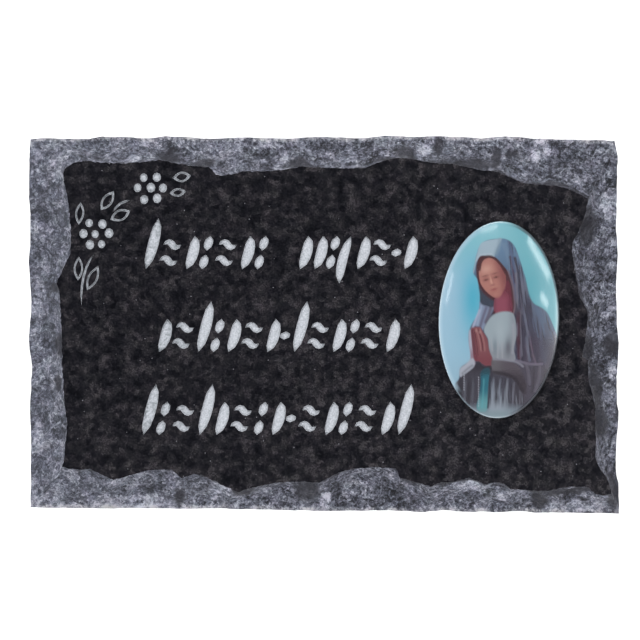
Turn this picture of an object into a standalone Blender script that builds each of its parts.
"""A grave plaque: a hand-dressed granite slab with a polished, engraved face and an oval porcelain picture.

The slab lies on its sawn back. +X runs to the right of the face, +Y to its top, +Z out of it.
Lengths are in metres. The origin is under the middle of the slab.
"""

import math

import bmesh
import bpy
from mathutils import Vector, noise

# The slab
SLAB_WIDTH = 0.250
SLAB_HEIGHT = 0.160
SLAB_THICKNESS = 0.020
SPLIT_SIDE = 0.006  # height of the steep split side, under the chipped border
SIDE_UNDERCUT = 0.0008  # the sawn back is this much smaller all round
SIDE_ROUGHNESS = 0.0006
RIM_WAVE_UNEVEN = 0.35  # how much the top of the split side rises and falls, as a share of its height
STATION_STEP = 0.0034  # distance between two sections of the border

# How far each corner of the block is out of square, inwards from the side and from the top or bottom, in
# multiples of SQUARE_ERROR
SQUARE_ERROR = 0.001
OUT_OF_SQUARE = {
    "top left": (0.95, 1.50),
    "top right": (0.65, 2.20),
    "bottom right": (0.05, 0.00),
    "bottom left": (0.90, 2.50),
}

# Where the rim turns along each side: the share of the side, then how far inside the line between the block's
# corners the rim is broken back there, in multiples of RIM_STEP
RIM_STEP = 0.001
TOP_RIM = (
    (0.000, 0.0),
    (0.025, -0.4),
    (0.095, -0.1),
    (0.122, -1.3),
    (0.207, -0.4),
    (0.230, -1.4),
    (0.307, -0.7),
    (0.343, -1.1),
    (0.431, -0.4),
    (0.494, -1.4),
    (0.567, -0.9),
    (0.603, -1.9),
    (0.652, -1.3),
    (0.697, -1.7),
    (0.766, -0.9),
    (0.812, -1.9),
    (0.872, -0.6),
    (0.979, -0.3),
    (1.000, 1.0),
)
RIGHT_RIM = (
    (0.000, 1.3),
    (0.040, 0.0),
    (0.083, 0.0),
    (0.217, 0.7),
    (0.313, 0.1),
    (0.378, 0.6),
    (0.498, 0.5),
    (0.538, -0.2),
    (0.651, 0.8),
    (0.694, 0.6),
    (0.731, -0.2),
    (0.849, 1.3),
    (0.892, 1.0),
    (0.916, -0.1),
    (1.000, 0.0),
)
BOTTOM_RIM = (
    (0.000, 0.0),
    (0.120, 0.3),
    (0.135, -0.1),
    (0.163, 0.4),
    (0.212, -0.1),
    (0.298, 0.4),
    (0.332, -0.2),
    (0.407, 0.4),
    (0.422, 0.0),
    (0.529, -0.1),
    (0.612, 0.3),
    (0.649, 0.0),
    (0.698, 0.5),
    (0.744, 0.0),
    (0.822, 0.4),
    (0.836, 0.0),
    (1.000, 0.0),
)
LEFT_RIM = (
    (0.000, 0.0),
    (0.188, 0.5),
    (0.250, -0.3),
    (0.364, 0.5),
    (0.402, 0.4),
    (0.434, -0.8),
    (0.562, 0.6),
    (0.665, -0.7),
    (0.708, 0.0),
    (0.809, 0.1),
    (0.852, -0.8),
    (0.903, -0.9),
    (1.000, 0.0),
)

# Where the edge of the polished face turns at each corner, measured in from the block's two sides there, in
# multiples of BORDER_STEP
BORDER_STEP = 0.010
FACE_CORNERS = {
    "top left": (1.68, 1.36),
    "top right": (1.36, 2.70),
    "bottom right": (0.36, 0.87),
    "bottom left": (1.50, 2.00),
}

# Each chip knocked off the face's edge: the share of the side where it ends, then how far inside the line
# between the face's corners it ends and how deep it bites past its own chord, in multiples of CHIP_STEP
CHIP_STEP = 0.001
TOP_CHIPS = (
    (0.031, -3.1, -0.4),
    (0.176, -5.4, 1.3),
    (0.272, -3.4, 0.4),
    (0.286, -0.6, 0.0),
    (0.338, -2.7, 0.8),
    (0.449, -6.2, 0.8),
    (0.571, -7.2, 0.4),
    (0.632, -12.2, -0.7),
    (0.656, -12.4, 0.0),
    (0.739, -11.1, 0.6),
    (0.824, -8.9, 0.4),
    (0.876, -4.9, 0.2),
    (0.938, -4.6, 0.2),
    (1.000, 0.0, -0.6),
)
RIGHT_CHIPS = (
    (0.145, 8.3, -1.2),
    (0.214, 8.2, 0.2),
    (0.331, 6.9, 0.0),
    (0.386, 3.9, -0.4),
    (0.531, 7.9, -0.3),
    (0.543, 5.1, 0.0),
    (0.634, 5.5, 0.6),
    (0.707, 3.9, 0.0),
    (0.745, 4.4, 0.0),
    (0.876, 5.8, -0.3),
    (0.938, 2.0, 0.5),
    (1.000, 0.0, -0.2),
)
BOTTOM_CHIPS = (
    (0.033, 0.0, -1.0),
    (0.046, 2.5, 0.0),
    (0.095, 1.4, 0.2),
    (0.127, -0.3, -0.3),
    (0.184, 0.0, 0.0),
    (0.197, 2.2, 0.0),
    (0.215, 2.5, 0.0),
    (0.232, 1.5, 0.0),
    (0.261, 3.9, 0.1),
    (0.311, 1.5, -0.7),
    (0.329, -0.7, 0.0),
    (0.386, 2.4, 0.0),
    (0.394, 6.1, 0.0),
    (0.428, 6.5, 0.0),
    (0.498, 3.4, 0.6),
    (0.533, -1.4, 0.0),
    (0.680, -7.1, 2.1),
    (0.748, -0.3, 0.0),
    (0.763, -0.3, 0.2),
    (0.783, -2.3, 0.0),
    (0.801, 1.0, 0.2),
    (0.855, -0.5, 0.6),
    (0.906, -4.4, 0.0),
    (0.950, -0.3, 0.0),
    (1.000, 0.0, -0.5),
)
LEFT_CHIPS = (
    (0.149, 1.6, 0.3),
    (0.234, 0.1, 0.0),
    (0.339, -0.7, 0.1),
    (0.583, -2.4, 0.3),
    (0.614, -3.5, 0.0),
    (0.712, 2.2, -0.2),
    (0.864, 1.2, 0.3),
    (0.963, -1.5, 0.1),
    (1.000, 0.0, -0.6),
)

# The border's section, from the rim to the face: shares of its width, and how hollow the break is
BORDER_BANDS = (0.0, 0.22, 0.48, 0.72, 0.9, 1.0)
RIDGE_HOLLOW = 1.2  # exponent of the section between two chips
CHIP_HOLLOW = 2.3  # exponent of the section in the middle of a wide chip
WIDE_CHIP = 0.020
BORDER_ROUGHNESS = 0.0007
BREAK_GRAIN = 0.007  # size of the lumps left in the broken stone

# The engraving
ENGRAVING_DEPTH = 0.0008
BRUSH_WIDTH = 0.0046  # thickest part of a stroke
BRUSH_TAPER = 0.42  # the less, the fuller the stroke is towards its ends
LINE_PITCH = 0.0349
MIDDLE_LINE = -0.0116  # height of the middle line's base over the middle of the slab
SHORT_STROKE = 0.0140
TALL_STROKE = 0.0215
TAIL = 0.0060  # how far a tailed stroke goes under its line
SLANT = math.radians(14)
TALL_BOW = 0.0010  # how far the middle of a tall stroke is drawn aside
SHORT_BOW = 0.0022
RIPPLE_LENGTH = 0.0076
RIPPLE_SWING = 0.0012

# Each word: its line counted from the top, its two ends as shares of the room left of the picture, its strokes
WORDS = (
    (0, 0.200, 0.560, "twspwsp"),
    (0, 0.612, 0.952, "sspjswos"),
    (1, 0.236, 0.906, "swtpswsotwspws"),
    (2, 0.193, 0.938, "tpwtswpsowspwst"),
)

# The spray of flowers. Places in it are shares of its height, to the right and down from the face's top left
# corner.
SPRAY_HEIGHT = 0.0568
SPRAY_LINE = 0.00075
LEAF_HALF_WIDTH = 0.0020
BERRY_RADIUS = 0.0017
BERRY_LENGTHENED = 1.12
BERRY_SIDES = 9
BERRY_RING = 0.0053
BERRY_STRAY = 0.0007  # how far a berry may lie from its place
BERRIES_ROUND = 6
FLOWERS = ((0.620, 0.157), (0.216, 0.495))
LEAVES = (  # stalk, tip, and width as a multiple of the usual leaf's
    ((0.785, 0.083), (0.922, 0.065), 1.10),
    ((0.762, 0.196), (0.885, 0.182), 0.90),
    ((0.253, 0.321), (0.350, 0.180), 1.15),
    ((0.322, 0.391), (0.472, 0.325), 1.20),
    ((0.088, 0.428), (0.105, 0.262), 0.95),
    ((0.083, 0.842), (0.090, 0.665), 1.00),
    ((0.150, 0.915), (0.235, 0.735), 1.10),
)
STEMS = (  # start, the point that it is drawn towards, and end
    ((0.345, 0.330), (0.380, 0.262), (0.474, 0.246)),
    ((0.205, 0.642), (0.095, 0.780), (0.110, 1.030)),
)

# The porcelain picture
PICTURE_WIDTH = 0.0508
PICTURE_HEIGHT = 0.0829
PICTURE_FROM_RIGHT = 0.0512  # middle of the picture to the right side of the slab
PICTURE_ABOVE_MIDDLE = 0.0020
PICTURE_LEAN = math.radians(1.7)  # its top leans to the right
PICTURE_EDGE = 0.0018  # thickness at the rim
PICTURE_CROWN = 0.0030  # how much the dome stands over the rim
PICTURE_ROUNDING = 0.0006
PICTURE_SIDES = 56
CROWN_STEPS = 7
GLUE_GAP = 0.0003

PICTURE_X = SLAB_WIDTH / 2 - PICTURE_FROM_RIGHT
TEXT_LEFT = -SLAB_WIDTH / 2 + FACE_CORNERS["bottom left"][0] * BORDER_STEP
TEXT_RIGHT = PICTURE_X - PICTURE_WIDTH / 2


def make_material(name, color, roughness, coat=0.0):
    material = bpy.data.materials.new(name)
    material.use_nodes = True
    shader = material.node_tree.nodes["Principled BSDF"]
    shader.inputs["Base Color"].default_value = (*color, 1.0)
    shader.inputs["Roughness"].default_value = roughness
    shader.inputs["Metallic"].default_value = 0.0
    shader.inputs["Coat Weight"].default_value = coat
    return material


def make_collection(name):
    collection = bpy.data.collections.new(name)
    bpy.context.scene.collection.children.link(collection)
    return collection


def make_object(name, mesh, collection):
    made = bpy.data.objects.new(name, mesh)
    collection.objects.link(made)
    return made


def corner(name, insets, step):
    """A point set in from the named corner of the slab's box."""
    inset_x, inset_y = insets[name]
    x = SLAB_WIDTH / 2 - inset_x * step
    y = SLAB_HEIGHT / 2 - inset_y * step
    return Vector((-x if "left" in name else x, y if "top" in name else -y))


def broken_back(turns, share):
    """How far the rim is broken back at a share of its side."""
    for (share_from, inset_from), (share_to, inset_to) in zip(turns, turns[1:]):
        if share < share_to:
            part = (share - share_from) / (share_to - share_from)
            return (inset_from + (inset_to - inset_from) * part) * RIM_STEP
    return turns[-1][1] * RIM_STEP


def side_stations(names, turns, chips):
    """Sections along one side, each a rim point, a point of the face's edge and how hollow the break is."""
    rim_start, rim_end = (corner(name, OUT_OF_SQUARE, SQUARE_ERROR) for name in names)
    face_start, face_end = (corner(name, FACE_CORNERS, BORDER_STEP) for name in names)
    along = (face_end - face_start).normalized()
    inward = Vector((along.y, -along.x))
    length = (rim_end - rim_start).length
    stations = []
    share_from, offset_from = 0.0, 0.0
    for share_to, offset_to, bite in chips:
        chip_length = (share_to - share_from) * length
        steps = max(1, round(chip_length / STATION_STEP))
        for step in range(steps):
            part = step / steps
            arc = 4 * part * (1 - part)
            share = share_from + (share_to - share_from) * part
            offset = offset_from + (offset_to - offset_from) * part + bite * arc
            rim = rim_start.lerp(rim_end, share) + inward * broken_back(turns, share)
            edge = face_start.lerp(face_end, share) + inward * offset * CHIP_STEP
            depth = min(1.0, chip_length / WIDE_CHIP)
            hollow = RIDGE_HOLLOW + (CHIP_HOLLOW - RIDGE_HOLLOW) * arc * depth
            stations.append((rim, edge, hollow))
        share_from, offset_from = share_to, offset_to
    return stations


def slab_stations():
    sides = (
        (("top left", "top right"), TOP_RIM, TOP_CHIPS),
        (("top right", "bottom right"), RIGHT_RIM, RIGHT_CHIPS),
        (("bottom right", "bottom left"), BOTTOM_RIM, BOTTOM_CHIPS),
        (("bottom left", "top left"), LEFT_RIM, LEFT_CHIPS),
    )
    return [station for side in sides for station in side_stations(*side)]


def fill_box(points):
    """The rim moved and stretched a little so that it just fills the slab's width and height."""
    low = Vector((min(p.x for p in points), min(p.y for p in points)))
    high = Vector((max(p.x for p in points), max(p.y for p in points)))
    size = high - low
    return [
        Vector(
            (
                ((p.x - low.x) / size.x - 0.5) * SLAB_WIDTH,
                ((p.y - low.y) / size.y - 0.5) * SLAB_HEIGHT,
            )
        )
        for p in points
    ]


def drawn_in(point, distance):
    """A rim point moved in from the slab's sides by a distance."""
    return Vector((point.x * (1 - 2 * distance / SLAB_WIDTH), point.y * (1 - 2 * distance / SLAB_HEIGHT)))


def lump(point, layer):
    """Unevenness of the broken stone at a place, about -1 to 1. Each layer has lumps of its own."""
    place = Vector((*(point / BREAK_GRAIN), layer))
    return noise.noise(place) + 0.5 * noise.noise(place * 2.1)


def slab_rings():
    """The slab's closed rings of points, from the sawn back up the split side and over the border."""
    stations = slab_stations()
    rims = fill_box([rim for rim, edge, hollow in stations])
    rings = [[] for _ in range(2 + len(BORDER_BANDS))]
    for rim, (_, edge, hollow) in zip(rims, stations):
        side_top = SPLIT_SIDE * (1 + RIM_WAVE_UNEVEN * lump(rim, 0.4))
        back = drawn_in(rim, SIDE_UNDERCUT * (1 + lump(rim, 1.4) / 2))
        middle = drawn_in(rim, SIDE_UNDERCUT / 2 + SIDE_ROUGHNESS * abs(lump(rim, 2.4)))
        rings[0].append((*back, 0.0))
        rings[1].append((*middle, side_top / 2))
        for ring, share in zip(rings[2:], BORDER_BANDS):
            place = rim.lerp(edge, share)
            rise = (SLAB_THICKNESS - side_top) * share**hollow
            rough = BORDER_ROUGHNESS * lump(place, 3.4) * 4 * share * (1 - share)
            ring.append((*place, side_top + rise + rough))
    return rings


def make_slab(collection):
    """The block, lofted ring by ring and closed by its sawn back and its polished face."""
    body = bmesh.new()
    rings = [[body.verts.new(point) for point in ring] for ring in slab_rings()]
    for lower, upper in zip(rings, rings[1:]):
        for i in range(len(lower)):
            j = (i + 1) % len(lower)
            body.faces.new((lower[i], lower[j], upper[j], upper[i]))
    body.faces.new(rings[0])
    body.faces.new(rings[-1])
    bmesh.ops.recalc_face_normals(body, faces=body.faces)
    mesh = bpy.data.meshes.new("granite_slab")
    body.to_mesh(mesh)
    body.free()
    return make_object("granite_slab", mesh, collection)


def curved(start, bend, end, share):
    """A point on the simple curve from start to end that is drawn towards bend."""
    return start.lerp(bend, share).lerp(bend.lerp(end, share), share)


def brush_outline(centre, width, sections):
    """The closed outline of a brush stroke that is pointed at both ends, along the line centre(share)."""
    left, right = [], []
    for section in range(1, sections):
        share = section / sections
        nearby = 0.01
        way = (centre(share + nearby) - centre(share - nearby)).normalized()
        across = Vector((-way.y, way.x)) * width / 2 * math.sin(math.pi * share) ** BRUSH_TAPER
        left.append(centre(share) + across)
        right.append(centre(share) - across)
    return [centre(0.0), *left, centre(1.0), *reversed(right)]


def blade(foot, head, lean=0.0):
    """A long slanted stroke from foot to head, leaning a little to one side at its middle."""
    start, end = Vector((0.0, foot)), Vector((0.0, head))
    bend = Vector((lean, (foot + head) / 2))
    return lambda share: curved(start, bend, end, share)


def ripple(height):
    """A flat wave that starts and ends at the same height."""
    return lambda share: Vector(
        ((share - 0.5) * RIPPLE_LENGTH, height + RIPPLE_SWING * math.sin(2 * math.pi * share))
    )


# Each kind of stroke: its centre lines, their thickness as a share of the brush's, their sections and the
# room that it takes in a row
STROKES = {
    "t": ((blade(0.0, TALL_STROKE, TALL_BOW),), 1.0, 6, 1.0),
    "s": ((blade(0.0, SHORT_STROKE, SHORT_BOW),), 1.0, 6, 1.0),
    "j": ((blade(-TAIL, SHORT_STROKE, -SHORT_BOW),), 0.9, 6, 1.0),
    "p": ((blade(0.0, 0.44 * SHORT_STROKE), blade(0.56 * SHORT_STROKE, SHORT_STROKE)), 0.8, 4, 0.9),
    "o": ((blade(0.38 * SHORT_STROKE, 0.62 * SHORT_STROKE),), 0.9, 4, 0.7),
    "w": ((ripple(0.26 * SHORT_STROKE), ripple(0.74 * SHORT_STROKE)), 0.55, 8, 1.5),
}


def word_outlines(line, left, right, strokes):
    """The outlines of one word's strokes, spread evenly between its two ends."""
    base = MIDDLE_LINE + (1 - line) * LINE_PITCH
    room = TEXT_RIGHT - TEXT_LEFT
    lean = math.tan(SLANT)
    start = TEXT_LEFT + left * room
    end = TEXT_LEFT + right * room - SHORT_STROKE * lean
    widths = [STROKES[kind][-1] for kind in strokes]
    advance = (end - start) / sum(widths)
    outlines = []
    x = start
    for kind, width in zip(strokes, widths):
        centres, thickness, sections, _ = STROKES[kind]
        middle = Vector((x + width * advance / 2, base))
        for centre in centres:
            outline = brush_outline(centre, thickness * BRUSH_WIDTH, sections)
            outlines.append([middle + Vector((p.x + p.y * lean, p.y)) for p in outline])
        x += width * advance
    return outlines


def spray_point(place):
    """A place in the spray, given in shares of its height."""
    right, down = place
    return corner("top left", FACE_CORNERS, BORDER_STEP) + Vector((right, -down)) * SPRAY_HEIGHT


def circle_points(middle, radius, count, stretch=1.0):
    turn = 2 * math.pi / count
    return [middle + radius * Vector((math.cos(i * turn), stretch * math.sin(i * turn))) for i in range(count)]


def berry_outlines(middle):
    """A flower: a round berry in the middle and a ring of them about it."""
    outlines = []
    for place in (middle, *circle_points(middle, BERRY_RING, BERRIES_ROUND)):
        aside, apart = (noise.noise(Vector((*(place / BERRY_RING), layer))) for layer in (0.5, 7.5))
        place = place + BERRY_STRAY * Vector((aside, apart))
        outlines.append(circle_points(place, BERRY_RADIUS * (1 + aside / 4), BERRY_SIDES, BERRY_LENGTHENED))
    return outlines


def leaf_outlines(stalk, tip, half_width):
    """A leaf drawn as one thin line: an outer outline and the inner one that leaves stone standing."""
    along = tip - stalk
    across = Vector((-along.y, along.x)).normalized()
    outlines = []
    for inset, sections in ((0.0, 6), (SPRAY_LINE, 5)):
        reach = along.normalized() * inset * 2
        start, end = stalk + reach, tip - reach
        side = across * (2 * (half_width - inset))
        middle = (start + end) / 2
        first = [curved(start, middle + side, end, i / sections) for i in range(sections)]
        second = [curved(end, middle - side, start, i / sections) for i in range(sections)]
        outlines.append(first + second)
    return outlines


def stem_outline(start, bend, end):
    return brush_outline(lambda share: curved(start, bend, end, share), 1.3 * SPRAY_LINE, 6)


def spray_outlines():
    """The flowers with the leaves and stems around them."""
    outlines = []
    for middle in FLOWERS:
        outlines += berry_outlines(spray_point(middle))
    for stalk, tip, broad in LEAVES:
        outlines += leaf_outlines(spray_point(stalk), spray_point(tip), broad * LEAF_HALF_WIDTH)
    for stem in STEMS:
        outlines.append(stem_outline(*map(spray_point, stem)))
    return outlines


def make_cutter(name, outlines, collection):
    """Flat outlines made into one solid that reaches from the engraving's floor to well over the face."""
    drawing = bpy.data.curves.new(name, "CURVE")
    drawing.dimensions = "2D"
    drawing.fill_mode = "BOTH"
    drawing.extrude = ENGRAVING_DEPTH
    for outline in outlines:
        spline = drawing.splines.new("POLY")
        spline.points.add(len(outline) - 1)
        for point, place in zip(spline.points, outline):
            point.co = (*place, 0.0, 1.0)
        spline.use_cyclic_u = True
    drawn = make_object(name + "_outline", drawing, collection)
    drawn.location.z = SLAB_THICKNESS
    bpy.context.view_layer.update()
    evaluated = drawn.evaluated_get(bpy.context.evaluated_depsgraph_get())
    mesh = bpy.data.meshes.new_from_object(evaluated)
    body = bmesh.new()
    body.from_mesh(mesh)
    bmesh.ops.remove_doubles(body, verts=body.verts, dist=0.00001)
    bmesh.ops.recalc_face_normals(body, faces=body.faces)
    body.to_mesh(mesh)
    body.free()
    cutter = make_object(name, mesh, collection)
    cutter.matrix_world = drawn.matrix_world
    cutter.hide_render = True
    cutter.display_type = "WIRE"
    bpy.data.objects.remove(drawn)
    return cutter


def engrave(slab, cutter):
    cut = slab.modifiers.new(cutter.name, "BOOLEAN")
    cut.operation = "DIFFERENCE"
    cut.solver = "EXACT"
    cut.object = cutter


def picture_profile():
    """Half the section of the porcelain tablet, from the top of its dome down its rim to its flat back."""
    radius = PICTURE_WIDTH / 2
    flat = radius - PICTURE_ROUNDING
    points = []
    for step in range(CROWN_STEPS + 1):
        share = step / CROWN_STEPS
        points.append((flat * share, PICTURE_EDGE + PICTURE_CROWN * (1 - share**2)))
    points.append((radius, PICTURE_EDGE - PICTURE_ROUNDING))
    points.append((radius, PICTURE_ROUNDING))
    points.append((flat, 0.0))
    points.append((0.0, 0.0))
    return points


def make_picture(collection):
    """The domed oval: a turned section, stretched to the picture's height."""
    points = picture_profile()
    mesh = bpy.data.meshes.new("porcelain_medallion")
    edges = [(i, i + 1) for i in range(len(points) - 1)]
    mesh.from_pydata([(x, 0.0, z) for x, z in points], edges, [])
    picture = make_object("porcelain_medallion", mesh, collection)
    turn = picture.modifiers.new("turn", "SCREW")
    turn.steps = PICTURE_SIDES
    turn.render_steps = PICTURE_SIDES
    turn.use_merge_vertices = True
    turn.merge_threshold = 0.00001
    turn.use_smooth_shade = True
    picture.scale.y = PICTURE_HEIGHT / PICTURE_WIDTH
    picture.rotation_euler.z = -PICTURE_LEAN
    picture.location = (PICTURE_X, PICTURE_ABOVE_MIDDLE, SLAB_THICKNESS + GLUE_GAP)
    return picture


def build():
    for old in list(bpy.data.objects):
        bpy.data.objects.remove(old)
    parts = make_collection("grave_plaque")
    cutters = make_collection("engraving_cutters")
    slab = make_slab(parts)
    slab.data.materials.append(make_material("dark_granite", (0.018, 0.017, 0.020), 0.3))
    outlines = [outline for word in WORDS for outline in word_outlines(*word)]
    engrave(slab, make_cutter("inscription_cutter", outlines, cutters))
    engrave(slab, make_cutter("spray_cutter", spray_outlines(), cutters))
    picture = make_picture(parts)
    picture.data.materials.append(make_material("glazed_porcelain", (0.36, 0.52, 0.60), 0.08, 1.0))


build()
